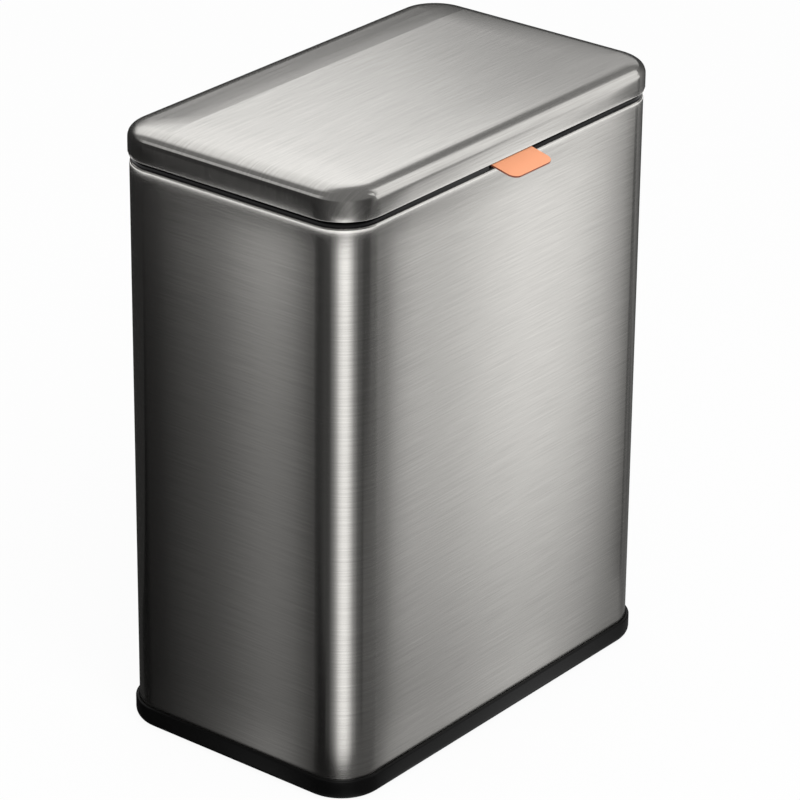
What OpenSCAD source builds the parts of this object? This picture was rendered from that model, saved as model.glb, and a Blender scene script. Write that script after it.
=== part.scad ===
// Countertop bin with a push tab: steel body and lid, moulded collar and base, lift-out bucket.
// Millimetres, +Z up. The origin is the middle of the footprint, on the worktop.
// The long front face, with the tab, looks towards -Y, and the lid is hinged along the back.

/* [Body] */
// Width of the steel body, along X
body_w = 250; // [220:1:320]
// Depth of the steel body, along Y
body_d = 151; // [140:1:200]
// Height of the steel that shows between base ring and collar
shell_h = 297.8; // [240:0.1:360]
// Plan radius of the upright corners
corner_r = 22; // [22:0.5:34]
// Thickness of the steel sheet of body and lid
sheet_t = 0.5; // [0.4:0.05:0.6]
// Radius of the rolled top edge
hem_r = 1.2; // [0.8:0.1:2]
// Width of the lip turned in at the top
lip_w = 6; // [5:0.5:8]
// Width of the flange turned in at the bottom
flange_w = 14; // [12:0.5:16]
// Width of the folded seam down the inside of the back
seam_w = 9; // [6:0.5:14]

/* [Base] */
// Height of the base ring
base_h = 11.7; // [9:0.1:20]
// How far the ring stands out past the steel
base_over = 2; // [1.5:0.1:4]
// Radius of the ring's lower edge
base_edge_r = 4.7; // [2:0.1:6]
// Radius of the ring's upper edge
base_lip_r = 0.8; // [0.4:0.1:1.1]
// Gap between ring and steel
ring_gap = 0.3; // [0.2:0.05:0.4]
// Thickness of the tray under the steel
tray_seat_t = 4; // [3.4:0.1:6]
// Thickness of the tray's floor
tray_floor_t = 2.5; // [1.5:0.1:3]
// Width of the thick band round the tray, from the face of the steel
tray_band_w = 16; // [14:0.5:18]
// Radius of a rubber foot
foot_r = 8; // [6:0.5:10]
// Thickness of a rubber foot
foot_t = 2; // [1.5:0.1:2.6]
// How far the feet stand out below the ring
foot_proud = 0.8; // [0.5:0.1:1.4]
// Distance of a foot's centre from the faces of the steel
foot_in = 22; // [18:0.5:30]
// Distance of the base screws from the corners' straight ends
base_screw_off = 20; // [12:1:40]
// Radius of the base screws
base_screw_r = 1.4; // [1.2:0.1:1.8]

/* [Lid] */
// Gap between the lid's lower edge and the collar
lid_gap = 1.1; // [1:0.1:2.5]
// How far the lid stands out past the steel body
lid_over = 0.8; // [0.4:0.1:1.5]
// Height of the straight skirt
skirt_h = 7; // [6.5:0.1:12]
// Rise of the crowned edge
crown_h = 9.2; // [8.8:0.1:14]
// Width of the crowned edge
crown_w = 22; // [18:0.5:22]
// Fullness of the crowned edge, 2 being an ellipse
crown_n = 2.85; // [2.4:0.05:4]
// Thickness of the liner's plate
plate_t = 1.6; // [1.2:0.1:2]
// Gap between the liner's plate and the steel above it
plate_gap = 1.9; // [1.2:0.1:2]
// Gap between the liner's rim and the skirt
liner_gap = 0.2; // [0.1:0.05:0.3]
// Thickness of the liner's rim
liner_rim_t = 2; // [1.4:0.1:2.2]
// Radius of the rubber bumpers on the collar
bumper_r = 4; // [3:0.5:5]
// Height of the rubber bumpers
bumper_h = 2.5; // [2:0.1:4]
// Distance of the bumpers from the front face
bumper_v = 13; // [10:0.5:15]

/* [Collar] */
// Thickness of the collar's deck, which shows as the black band
deck_t = 2.4; // [2:0.1:4]
// How far the deck stays back from the face of the steel
deck_in = 0.8; // [0.4:0.1:1.5]
// Thickness of the collar's wall inside the shell
collar_wall_t = 1.6; // [1.2:0.1:1.8]
// Depth of that wall below the top of the deck
collar_wall_h = 15.7; // [12:0.1:25]
// Gap between the collar's wall and the shell's lip
collar_fit = 0.2; // [0.1:0.05:0.3]
// Width of the deck at the front
front_deck = 23; // [22.5:0.5:30]
// Width of the deck at the back
back_deck = 20.5; // [20.5:0.5:30]
// Width of the deck at the short sides
side_deck = 14; // [13:0.5:24]
// Width of the ledge that carries the bucket
ledge_w = 5; // [4:0.5:6]
// Thickness of that ledge
ledge_t = 2; // [1.5:0.1:3]
// Plan radius of the opening's corners
opening_r = 14; // [13.5:0.5:20]
// Width of one snap hook
hook_w = 14; // [8:0.5:20]

/* [Bucket] */
// Thickness of the bucket's rim
rim_t = 1.8; // [1.4:0.1:2.2]
// Thickness of the bucket's wall and floor
bucket_wall_t = 1.8; // [1.2:0.1:2]
// How much the bucket narrows on each side towards its floor
bucket_draft = 4; // [1:0.5:5]
// Gap round the bucket's rim
rim_gap = 0.4; // [0.2:0.1:0.8]
// Gap between the bucket's wall and the ledge
bucket_gap = 0.8; // [0.5:0.1:1.2]
// Gap under the bucket
bucket_lift = 6; // [3:0.5:20]
// Length of a grip hole
grip_w = 64; // [40:1:70]
// Height of a grip hole
grip_h = 18; // [14:0.5:24]
// Distance from the bucket's rim down to the top of a grip hole
grip_drop = 12; // [8:0.5:30]

/* [Hinge] */
// Distance of the hinge axis from the lid's back face
hinge_in = 3.6; // [3.5:0.05:3.8]
// Height of the hinge axis above the start of the crown
hinge_rise = 1.6; // [1.2:0.1:1.8]
// Radius of the hinge pins
pin_r = 1; // [0.8:0.05:1.1]
// Radius of the lugs and ears round the pins
knuckle_r = 2.5; // [2.2:0.05:2.6]
// Running gap round a pin
pin_gap = 0.05; // [0.02:0.01:0.1]
// Thickness of a bracket's ear
ear_t = 3; // [2:0.1:4]
// Width of a lug on the lid
lug_w = 5; // [3:0.1:7]
// Room for a spring beside the lug
spring_room = 7; // [6.8:0.1:10]
// Side play between lug and ear
side_gap = 0.3; // [0.2:0.05:0.5]
// Distance of a hinge from the straight end of the corner
hinge_off = 8; // [2:0.5:40]
// Wire thickness of the torsion springs
wire_d = 0.7; // [0.5:0.05:0.75]
// Pitch of the springs' turns
wire_pitch = 1.15; // [1.12:0.01:1.2]
// Turns of each spring
turns = 5; // [3:1:5]
// Mean radius of the springs
coil_r = 1.75; // [1.6:0.05:1.8]

/* [Tab and catch] */
// Width of the finger tab
tab_w = 32; // [24:0.5:44]
// How far the tab stands out from the front face
tab_out = 14.4; // [8:0.1:20]
// Thickness of the tab
tab_t = 1.1; // [0.8:0.1:1.2]
// Slope of the tab, in degrees
tab_tilt = 13; // [10:0.5:15]
// Plan radius of the tab's outer corners
tab_r = 5; // [3:0.5:8]
// Gap between the lid's lower edge and the tab
tab_gap = 0.6; // [0.5:0.05:0.8]
// Gap at each end of the tab in the collar's notch
notch_gap = 1.2; // [0.8:0.1:2]
// Distance of the lever's pivot from the front face
pivot_v = 11; // [10.8:0.1:11.4]
// Depth of the lever's pivot below the deck
pivot_drop = 3.7; // [3.5:0.1:4]
// Radius of the lever's pin
lever_pin_r = 1; // [0.8:0.05:1.2]
// Radius of the lever's hub
hub_r = 2.6; // [2.3:0.05:2.6]
// Width of the lever's leg, which pushes the leaf
leg_w = 9; // [6:0.5:12]
// Thickness of the catch leaf
leaf_t = 0.3; // [0.2:0.05:0.4]
// Width of the catch leaf
leaf_w = 10; // [8:0.5:14]
// Thickness of the striker strip
striker_t = 0.8; // [0.6:0.1:1]
// Width of the striker
striker_w = 18; // [16:0.5:24]

/* [Hidden] */
$fn = 64;
arc_steps = 6;
overlap = 0.1;
screw_fit = 0.02;

// Middle of the body, set so that the origin is the middle of the whole footprint, tab included
mid_y = (tab_out - base_over) / 2;

// Heights above the worktop
z_ring = foot_proud;
z_base = z_ring + base_h;
z_shell = z_ring + tray_seat_t;
z_seam = z_base + shell_h;
z_deck = z_seam + deck_t;
z_lid = z_deck + lid_gap;
z_crown = z_lid + skirt_h;
z_top = z_crown + crown_h;
z_plate = z_top - sheet_t - plate_gap - plate_t;

// Lid and its hinge
lid_w = body_w + 2 * lid_over;
lid_d = body_d + 2 * lid_over;
lid_r = corner_r + lid_over;
crown_steps = 12;
axis_y = lid_d / 2 - hinge_in;
axis_z = z_crown + hinge_rise;
sweep_r = norm([hinge_in, axis_z - z_lid]);
ear_in = (lug_w + spring_room) / 2 + 1.5 * side_gap;
ear_out = ear_in + ear_t;
hinge_x = body_w / 2 - corner_r - hinge_off - ear_out;
arm_half = knuckle_r - 0.3;
web_y = -(sweep_r + 0.4);
web_t = 1.5;
leg_t = 3;
bracket_foot_t = 2;
bracket_foot_l = 7;
stop_reach = sweep_r - 0.12;
bracket_screw_x = ear_in - 3;
bracket_screw_y = web_y - web_t - 2.7;
bracket_screw_grip = 6;
bracket_boss_h = 11;
bracket_boss_r = 3.2;

// Opening of the collar, and the bucket in it
opening_w = body_w - 2 * side_deck;
opening_d = body_d - front_deck - back_deck;
opening_y = (front_deck - back_deck) / 2;
z_ledge = z_deck - rim_t - 0.2;
wall_v = lip_w + collar_fit;
z_hook = z_seam - sheet_t - collar_fit;
rim_w = ledge_w - rim_gap + bucket_gap;
z_bucket = z_shell + bucket_lift;

// Tab, lever and catch, with v measured inwards from the front face
notch_w = tab_w + 2 * notch_gap;
tab_z = z_lid - tab_gap;
tab_bend_v = 0.9;
tab_flat_z = tab_z + tab_bend_v * tan(tab_tilt);
tab_in = 10;
lever_w = tab_w - 6;
lever_front_v = 3.8;
lever_plate_t = 0.9;
rivet_v = 8.2;
rivet_r = 0.9;
rivet_head_r = 1.7;
rivet_head_h = 0.8;
rivet_grip = 1.7;
pivot_z = z_deck - pivot_drop;
leaf_v = pivot_v + 6.45;
leaf_foot_w = leaf_w + 8;
leaf_foot_h = 7;
boss_v = leaf_v + leaf_t;
box_back_v = boss_v + 2.2;
box_wall_t = 2.5;
z_box = z_deck - 28;
z_leaf = z_box + 2;
nose_z = pivot_z - 6.5;
nose_gap = 0.25;
striker_v = pivot_v + 3.6;
striker_lip_v = leaf_v - 0.6;
z_strike = z_lid + 0.4;
hook_gap = 0.3;
hook_reach = 1.9;
hook_lead = 4;
leaf_screw_grip = 3.6;
leaf_hole_depth = 8;
leaf_boss_over = 3.5;
box_back_t = 2;
box_floor_t = 1.6;
striker_foot = 7.2;
striker_screw_v = 5;
snap_reach = 1.4;
snap_flat = 0.8;
snap_lead = 3.4;
boss_floor = 3;
small_screw_r = 1.2;
small_head_r = 2.4;
small_head_h = 1.6;

// Points on an arc round c, from angle a to angle b
function arc(c, r, a, b) =
    [for (i = [0:arc_steps]) c + r * [cos(a + (b - a) * i / arc_steps), sin(a + (b - a) * i / arc_steps)]];

// Point on the crown's curve, for half axes w and h, at angle a from the skirt
function crown_point(w, h, a) = [w - w * pow(cos(a), 2 / crown_n), h * pow(sin(a), 2 / crown_n)];

// Half the strip's mitre at point i, so that the strip keeps its thickness round a bend
function mitre(p, i, t) =
    let (a = max(i, 1), b = min(i + 1, len(p) - 1), d = p[a] - p[a - 1], e = p[b] - p[b - 1])
    t / 2 / max(0.5, sqrt((1 + (d * e) / norm(d) / norm(e)) / 2));

// Outline of a bent strip of thickness t along the points p
function strip(p, t) = concat(
    [for (i = [0:len(p) - 1]) p[i] + side_of_bend(p, i) * mitre(p, i, t)],
    [for (i = [len(p) - 1:-1:0]) p[i] - side_of_bend(p, i) * mitre(p, i, t)]
);

// Unit vector square to the bisector of the bend at point i
function side_of_bend(p, i) =
    let (
        a = max(i, 1),
        b = min(i + 1, len(p) - 1),
        d = (p[a] - p[a - 1]) / norm(p[a] - p[a - 1]),
        e = (p[b] - p[b - 1]) / norm(p[b] - p[b - 1]),
        m = (d + e) / norm(d + e)
    )
    [-m[1], m[0]];

// Rounded rectangle, centred
module rounded(w, d, r) {
    square([w - 2 * r, d], center = true);
    square([w, d - 2 * r], center = true);
    for (sx = [-1, 1], sy = [-1, 1])
        translate([sx * (w / 2 - r), sy * (d / 2 - r)])
            circle(r);
}

// Profile of points [distance inwards, height] carried round a rounded rectangle
module rim_sweep(w, d, r, profile) {
    for (s = [0, 180])
        rotate([0, 0, s]) {
            translate([w / 2 - r, d / 2, 0])
                rotate([90, 0, -90])
                    linear_extrude(w - 2 * r)
                        polygon(profile);
            translate([w / 2, r - d / 2, 0])
                rotate([90, 0, 180])
                    linear_extrude(d - 2 * r)
                        polygon(profile);
        }
    for (q = [0:3])
        translate([(q == 0 || q == 3 ? 1 : -1) * (w / 2 - r), (q < 2 ? 1 : -1) * (d / 2 - r), 0])
            rotate([0, 0, 90 * q])
                rotate_extrude(angle = 90)
                    polygon([for (p = profile) [r - p[0], p[1]]]);
}

// Outline in Y and Z, as thick as w along X and centred there
module along_x(w) {
    translate([-w / 2, 0, 0])
        rotate([90, 0, 90])
            linear_extrude(w)
                children();
}

// Places children, drawn about the middle of the body, in the part's own frame
module centred() {
    translate([0, mid_y, 0])
        children();
}

// Places children by their distance v inwards from the front face
module at_front() {
    translate([0, -body_d / 2, 0])
        children();
}

// Places children on the hinge axis, s being -1 for the left hinge and 1 for the right
module at_hinge(s) {
    translate([s * hinge_x, axis_y, axis_z])
        mirror([s < 0 ? 1 : 0, 0, 0])
            children();
}

// Round bar along X between x0 and x1, at y and z
module bar_x(r, x0, x1, y, z) {
    translate([x0, y, z])
        rotate([0, 90, 0])
            cylinder(r = r, h = x1 - x0);
}

// Screw with a flat round head, its head's outer face at the origin and its shank along +Z
module screw(head_r, head_h, shank_r, length) {
    cylinder(r = head_r, h = head_h);
    translate([0, 0, head_h - overlap])
        cylinder(r = shank_r, h = length + overlap);
}

// Tube of six sides along the points p, which bend round the X axis
module tube(p, d) {
    n = len(p);
    sides = 6;
    function along(i) = p[min(i + 1, n - 1)] - p[max(i - 1, 0)];
    function ring(i) =
        let (
            t = along(i) / norm(along(i)),
            u = cross(t, [1, 0, 0]) / norm(cross(t, [1, 0, 0])),
            v = cross(t, u)
        )
        [for (k = [0:sides - 1]) p[i] + d / 2 * (cos(60 * k) * u + sin(60 * k) * v)];
    points = [for (i = [0:n - 1]) each ring(i)];
    skin = [
        for (i = [0:n - 2], k = [0:sides - 1])
            let (a = i * sides + k, b = i * sides + (k + 1) % sides)
            each [[a, b, b + sides], [a, b + sides, a + sides]]
    ];
    caps = [
        for (k = [1:sides - 2])
            each [[0, k + 1, k], [(n - 1) * sides, (n - 1) * sides + k, (n - 1) * sides + k + 1]]
    ];
    polyhedron(points, concat(skin, caps));
}

// Positions of the base screws
module each_base_screw() {
    for (sx = [-1, 1], sy = [-1, 1])
        translate([sx * (body_w / 2 - corner_r - base_screw_off), sy * (body_d / 2 - 9), 0])
            children();
}

// Positions of the feet
module each_foot() {
    for (sx = [-1, 1], sy = [-1, 1])
        translate([sx * (body_w / 2 - foot_in), sy * (body_d / 2 - foot_in), 0])
            children();
}

// Positions of the bumpers
module each_bumper() {
    for (s = [-1, 1])
        translate([s * (body_w / 2 - corner_r - 12), bumper_v - body_d / 2, 0])
            children();
}

// Positions of the screws of the two hinge brackets
module each_bracket_screw() {
    for (s = [-1, 1], k = [-1, 1])
        translate([s * hinge_x + k * bracket_screw_x, axis_y + bracket_screw_y, 0])
            children();
}

module base_tray() {
    head_h = 2.2;
    head_r = 3.4;
    band = tray_band_w + base_over;
    ring = concat(
        [[band, z_ring]],
        arc([base_edge_r, z_ring + base_edge_r], base_edge_r, 270, 180),
        arc([base_lip_r, z_base - base_lip_r], base_lip_r, 180, 90),
        [[base_over - ring_gap, z_base], [base_over - ring_gap, z_shell], [band, z_shell]]
    );
    color("#1f1f20") centred()
        difference() {
            union() {
                rim_sweep(body_w + 2 * base_over, body_d + 2 * base_over, corner_r + base_over, ring);
                translate([0, 0, z_shell - tray_floor_t])
                    linear_extrude(tray_floor_t)
                        rounded(body_w - 2 * tray_band_w + 2, body_d - 2 * tray_band_w + 2, 6);
                each_foot()
                    translate([0, 0, z_ring])
                        cylinder(r = foot_r + 3, h = tray_seat_t);
            }
            each_foot()
                translate([0, 0, z_ring - 1])
                    cylinder(r = foot_r + 0.2, h = foot_t - foot_proud + 1);
            each_base_screw() {
                cylinder(r = base_screw_r + 0.2, h = z_base);
                cylinder(r = head_r, h = z_ring + head_h);
            }
        }
}

module rubber_feet() {
    color("#2b2b2c") centred()
        each_foot() {
            cylinder(r1 = foot_r - 0.6, r2 = foot_r, h = 0.6);
            translate([0, 0, 0.6])
                cylinder(r = foot_r, h = foot_t - 0.6);
        }
}

module base_screws() {
    color("#8d8f92") centred()
        each_base_screw()
            translate([0, 0, z_ring + 0.2])
                screw(3.1, 2, base_screw_r, tray_seat_t + 1.5);
}

module body_shell() {
    wall = concat(
        [[0, z_shell]],
        arc([hem_r, z_seam - hem_r], hem_r, 180, 90),
        [[lip_w, z_seam], [lip_w, z_seam - sheet_t]],
        arc([hem_r, z_seam - hem_r], hem_r - sheet_t, 90, 180),
        [[sheet_t, z_shell + sheet_t], [flange_w, z_shell + sheet_t], [flange_w, z_shell]]
    );
    color("#c9c7c3") centred()
        difference() {
            union() {
                rim_sweep(body_w, body_d, corner_r, wall);
                translate([-seam_w / 2, body_d / 2 - 2 * sheet_t, z_shell + sheet_t + 1])
                    cube([seam_w, 1.5 * sheet_t, z_seam - z_shell - hem_r - 4]);
            }
            each_base_screw()
                cylinder(r = base_screw_r + screw_fit, h = z_base);
        }
}

// Solid of the collar before its notch, pocket and holes are cut
module collar_blank() {
    translate([0, 0, z_seam])
        linear_extrude(deck_t)
            difference() {
                rounded(body_w - 2 * deck_in, body_d - 2 * deck_in, corner_r - deck_in);
                translate([0, opening_y])
                    rounded(opening_w, opening_d, opening_r);
            }
    translate([0, opening_y, z_ledge - ledge_t])
        linear_extrude(z_seam - z_ledge + ledge_t + overlap)
            difference() {
                rounded(opening_w + 4, opening_d + 4, opening_r + 2);
                rounded(opening_w, opening_d, opening_r);
            }
    translate([0, opening_y, z_ledge - ledge_t])
        linear_extrude(ledge_t)
            difference() {
                rounded(opening_w + 4, opening_d + 4, opening_r + 2);
                rounded(opening_w - 2 * ledge_w, opening_d - 2 * ledge_w, opening_r - ledge_w);
            }
    translate([0, 0, z_deck - collar_wall_h])
        linear_extrude(collar_wall_h - deck_t + overlap)
            difference() {
                rounded(body_w - 2 * wall_v, body_d - 2 * wall_v, corner_r - wall_v);
                rounded(
                    body_w - 2 * (wall_v + collar_wall_t),
                    body_d - 2 * (wall_v + collar_wall_t),
                    corner_r - wall_v - collar_wall_t
                );
            }
}

// Snap hooks that hold the collar's wall under the shell's lip
module collar_hooks() {
    nose = [[overlap, 0], [-snap_reach, 0], [-snap_reach, -snap_flat], [overlap, -snap_lead]];
    for (s = [0, 180], x = [-0.3, 0.3])
        rotate([0, 0, s])
            translate([x * body_w, wall_v - body_d / 2, z_hook])
                along_x(hook_w)
                    polygon(nose);
    for (s = [90, 270])
        rotate([0, 0, s])
            translate([0, wall_v - body_w / 2, z_hook])
                along_x(hook_w)
                    polygon(nose);
}

// Box under the deck that holds the lever and the leaf
module catch_box() {
    side_l = box_back_v + box_back_t - wall_v;
    side_h = z_seam - z_box + overlap;
    at_front() {
        for (s = [-1, 1])
            translate([s * (notch_w + box_wall_t) / 2, wall_v + side_l / 2, z_box + side_h / 2])
                cube([box_wall_t, side_l, side_h], center = true);
        translate([-notch_w / 2 - box_wall_t, box_back_v, z_box])
            cube([notch_w + 2 * box_wall_t, box_back_t, side_h]);
        translate([-notch_w / 2 - box_wall_t, wall_v, z_box])
            cube([notch_w + 2 * box_wall_t, side_l, box_floor_t]);
        translate([-leaf_foot_w / 2 - 1, boss_v, z_box])
            cube([leaf_foot_w + 2, box_back_v - boss_v + overlap, leaf_foot_h + leaf_boss_over]);
    }
}

module top_collar() {
    color("#232324") centred()
        difference() {
            union() {
                collar_blank();
                collar_hooks();
                catch_box();
                each_bracket_screw()
                    translate([0, 0, z_deck - bracket_boss_h])
                        cylinder(r = bracket_boss_r, h = bracket_boss_h - deck_t + overlap);
            }
            at_front() {
                translate([-notch_w / 2, deck_in - 1, z_seam - overlap])
                    cube([notch_w, box_back_v - deck_in + 1, deck_t + 1]);
                translate([-notch_w / 2, wall_v - 1, pivot_z - 0.8])
                    cube([notch_w, collar_wall_t + 2, pivot_drop + 2]);
                bar_x(
                    lever_pin_r + screw_fit, -notch_w / 2 - box_wall_t - 1, notch_w / 2 + box_wall_t + 1,
                    pivot_v, pivot_z
                );
                for (s = [-1, 1])
                    translate([s * leaf_w / 2, boss_v - 1, z_leaf + leaf_foot_h / 2])
                        rotate([-90, 0, 0])
                            cylinder(r = small_screw_r + screw_fit, h = leaf_hole_depth);
            }
            each_bracket_screw()
                translate([0, 0, z_deck - bracket_boss_h + boss_floor])
                    cylinder(r = small_screw_r + screw_fit, h = bracket_boss_h);
        }
}

module inner_bucket() {
    z_rim = z_ledge + rim_t;
    w = opening_w - 2 * rim_gap;
    d = opening_d - 2 * rim_gap;
    r = opening_r - rim_gap;
    foot = rim_w + bucket_draft;
    wall = [
        [0, z_ledge],
        [0, z_rim],
        [rim_w + bucket_wall_t, z_rim],
        [foot + bucket_wall_t, z_bucket],
        [foot, z_bucket],
        [rim_w, z_ledge]
    ];
    color("#3a3b3d") centred()
        translate([0, opening_y, 0])
            difference() {
                union() {
                    rim_sweep(w, d, r, wall);
                    translate([0, 0, z_bucket])
                        linear_extrude(bucket_wall_t)
                            rounded(w - 2 * foot, d - 2 * foot, r - foot);
                }
                translate([-w / 2, 0, z_rim - grip_drop - grip_h / 2])
                    for (s = [-1, 1])
                        bar_x(grip_h / 2, 0, w, s * (grip_w - grip_h) / 2, 0);
                translate([-w / 2, -(grip_w - grip_h) / 2, z_rim - grip_drop - grip_h])
                    cube([w, grip_w - grip_h, grip_h]);
            }
}

module lid_skin() {
    outer = [for (i = [0:crown_steps]) [0, z_crown] + crown_point(crown_w, crown_h, 90 * i / crown_steps)];
    inner = [
        for (i = [crown_steps:-1:0])
            [sheet_t, z_crown] + crown_point(crown_w - sheet_t, crown_h - sheet_t, 90 * i / crown_steps)
    ];
    color("#cfccc8") centred() {
        rim_sweep(lid_w, lid_d, lid_r, concat([[0, z_lid]], outer, inner, [[sheet_t, z_lid]]));
        translate([0, 0, z_top - sheet_t])
            linear_extrude(sheet_t)
                rounded(lid_w - 2 * crown_w, lid_d - 2 * crown_w, lid_r - crown_w);
    }
}

// Lug of the liner round a hinge pin, with the finger that stops the lid when it is open
module hinge_lug() {
    top = z_plate - axis_z + overlap;
    translate([lug_w / 2 + side_gap - ear_in, 0, 0])
        difference() {
            along_x(lug_w) {
                circle(knuckle_r);
                translate([-knuckle_r - 4, 0])
                    square([knuckle_r + 4.4, top]);
                translate([-1.1, -stop_reach])
                    square([2.2, stop_reach]);
            }
            bar_x(pin_r + pin_gap, -lug_w, lug_w, 0, 0);
        }
}

module lid_liner() {
    v0 = sheet_t + liner_gap;
    v1 = v0 + liner_rim_t;
    edge = [
        [v0, z_lid + 0.5],
        [v0, z_crown],
        [v0 + 2.6, z_crown + 0.4 * crown_h],
        [v0 + 7, z_plate + plate_t],
        [v0 + 10, z_plate + plate_t],
        [v0 + 10, z_plate],
        [v1 + 4.8, z_plate],
        [v1 + 1.2, z_crown + 2.6],
        [v1, z_crown - 0.5],
        [v1, z_lid + 0.5]
    ];
    bay = ear_out + 0.8;
    color("#262627") centred() {
        difference() {
            union() {
                rim_sweep(lid_w, lid_d, lid_r, edge);
                translate([0, 0, z_plate])
                    linear_extrude(plate_t)
                        rounded(lid_w - 2 * v0 - 18, lid_d - 2 * v0 - 18, lid_r - v0 - 9);
                each_bumper()
                    translate([0, 0, z_deck + bumper_h + 0.3])
                        cylinder(r = 3, h = z_plate - z_deck - bumper_h - 0.3 + overlap);
                at_front()
                    for (s = [-1, 1])
                        translate([s * striker_w / 3, striker_v - striker_screw_v, z_plate])
                            cylinder(r = 3, h = plate_t + 0.6);
            }
            for (s = [-1, 1])
                at_hinge(s)
                    translate([-bay, -hinge_in - 8, z_lid - axis_z - 1])
                        cube([2 * bay, 2 * hinge_in + 8, z_plate - z_lid + 1]);
            at_front()
                for (s = [-1, 1])
                    translate([s * striker_w / 3, striker_v - striker_screw_v, z_plate - 1])
                        cylinder(r = small_screw_r + screw_fit, h = plate_t + 1.3);
        }
        for (s = [-1, 1])
            at_hinge(s)
                hinge_lug();
    }
}

module lid_bumpers() {
    color("#38393a") centred()
        each_bumper()
            translate([0, 0, z_deck])
                cylinder(r = bumper_r, h = bumper_h);
}

// Bracket with two cranked ears, so that the lid's back skirt can swing down between ear and axis
module hinge_bracket() {
    foot_z = z_deck - axis_z;
    difference() {
        union() {
            for (k = [-1, 1])
                translate([k * (ear_in + ear_t / 2), 0, 0])
                    along_x(ear_t) {
                        circle(knuckle_r);
                        translate([web_y - leg_t, -arm_half])
                            square([leg_t - web_y, 2 * arm_half]);
                        translate([web_y - leg_t, foot_z])
                            square([leg_t, arm_half - foot_z]);
                    }
            translate([-ear_out, web_y - web_t, foot_z])
                cube([2 * ear_out, web_t, -foot_z - 0.9]);
            translate([-ear_out, web_y - bracket_foot_l, foot_z])
                cube([2 * ear_out, bracket_foot_l, bracket_foot_t]);
        }
        bar_x(pin_r + screw_fit, -ear_out - 1, ear_out + 1, 0, 0);
        for (k = [-1, 1])
            translate([k * bracket_screw_x, bracket_screw_y, foot_z - 1])
                cylinder(r = small_screw_r + 0.2, h = bracket_foot_t + 2);
    }
}

module hinge_bracket_left() {
    color("#2a2a2b") centred()
        at_hinge(-1)
            hinge_bracket();
}

module hinge_bracket_right() {
    color("#2a2a2b") centred()
        at_hinge(1)
            hinge_bracket();
}

module bracket_screws() {
    color("#8d8f92") centred()
        each_bracket_screw()
            translate([0, 0, z_deck + bracket_foot_t + small_head_h])
                mirror([0, 0, 1])
                    screw(small_head_r, small_head_h, small_screw_r, bracket_foot_t + bracket_screw_grip);
}

module hinge_pin() {
    head_t = 0.7;
    bar_x(pin_r, -ear_out - 0.5, ear_out + overlap, 0, 0);
    bar_x(pin_r + 0.7, ear_out, ear_out + head_t, 0, 0);
}

module hinge_pin_left() {
    color("#a6a8aa") centred()
        at_hinge(-1)
            hinge_pin();
}

module hinge_pin_right() {
    color("#a6a8aa") centred()
        at_hinge(1)
            hinge_pin();
}

// Torsion spring round the pin: one leg on the bracket's web, one under the liner's plate
module torsion_spring() {
    x0 = ear_in - side_gap - wire_d / 2;
    fixed_leg = -web_y - 0.3;
    moving_leg = [z_plate - axis_z - coil_r - wire_d, 5.2];
    rings = 8;
    lead = wire_pitch / 360;
    start = -90;
    coil = [
        for (i = [0:rings * (turns + 0.5)])
            let (a = start + i * 360 / rings)
            [x0 - (a - start) * lead, coil_r * cos(a), coil_r * sin(a)]
    ];
    end = coil[len(coil) - 1];
    points = concat(
        [[x0, -fixed_leg, -coil_r], [x0, -fixed_leg / 2, -coil_r]],
        coil,
        [end + [0, -moving_leg[1] / 2, moving_leg[0] / 2], end + [0, -moving_leg[1], moving_leg[0]]]
    );
    least = min([
        for (i = [0:len(coil) - 1], j = [0:len(coil) - 1])
            if (j >= i + rings - 1)
                norm(coil[j] - coil[i])
    ]) - wire_d;
    echo("least gap between the spring's turns", least);
    tube(points, wire_d);
}

module torsion_spring_left() {
    color("#9b9da0") centred()
        at_hinge(-1)
            torsion_spring();
}

module torsion_spring_right() {
    color("#9b9da0") centred()
        at_hinge(1)
            torsion_spring();
}

// Places children in the plane of the tab's upper face, y running inwards up the slope
module on_tab() {
    at_front()
        translate([0, 0, tab_z])
            rotate([tab_tilt, 0, 0])
                children();
}

// Rivets that hold the tab on the lever, their heads flush with the tab, each grown by gap
module rivets(gap) {
    past = gap > 0 ? overlap : 0;
    flare = (rivet_head_r - rivet_r) / rivet_head_h;
    at_front()
        for (s = [-1, 1])
            translate([s * lever_w / 3, rivet_v, tab_flat_z]) {
                translate([0, 0, -tab_t - rivet_grip - gap])
                    cylinder(r = rivet_r + gap, h = tab_t + rivet_grip);
                translate([0, 0, -rivet_head_h])
                    cylinder(
                        r1 = rivet_r + gap, r2 = rivet_head_r + gap + flare * past, h = rivet_head_h + past
                    );
            }
}

// The tab slopes up to the lid and runs level from there over the lever
module finger_tab() {
    out = tab_out / cos(tab_tilt);
    bend = [tab_bend_v, tab_flat_z];
    tip = bend - (out + tab_in) * [cos(tab_tilt), sin(tab_tilt)];
    side = [
        bend,
        tip,
        tip + tab_t * [sin(tab_tilt), -cos(tab_tilt)],
        bend + tab_t * [tan(tab_tilt / 2), -1],
        [tab_in, tab_flat_z - tab_t],
        [tab_in, tab_flat_z]
    ];
    color("#f4a26c") centred()
        difference() {
            intersection() {
                at_front()
                    along_x(2 * tab_w)
                        polygon(side);
                on_tab()
                    translate([0, 0, -tab_in])
                        linear_extrude(2 * tab_in)
                            translate([0, tab_in - out / 2])
                                rounded(tab_w, out + 2 * tab_in, tab_r);
            }
            rivets(screw_fit);
        }
}

module tab_rivets() {
    color("#b4b6b8") centred()
        rivets(0);
}

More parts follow.
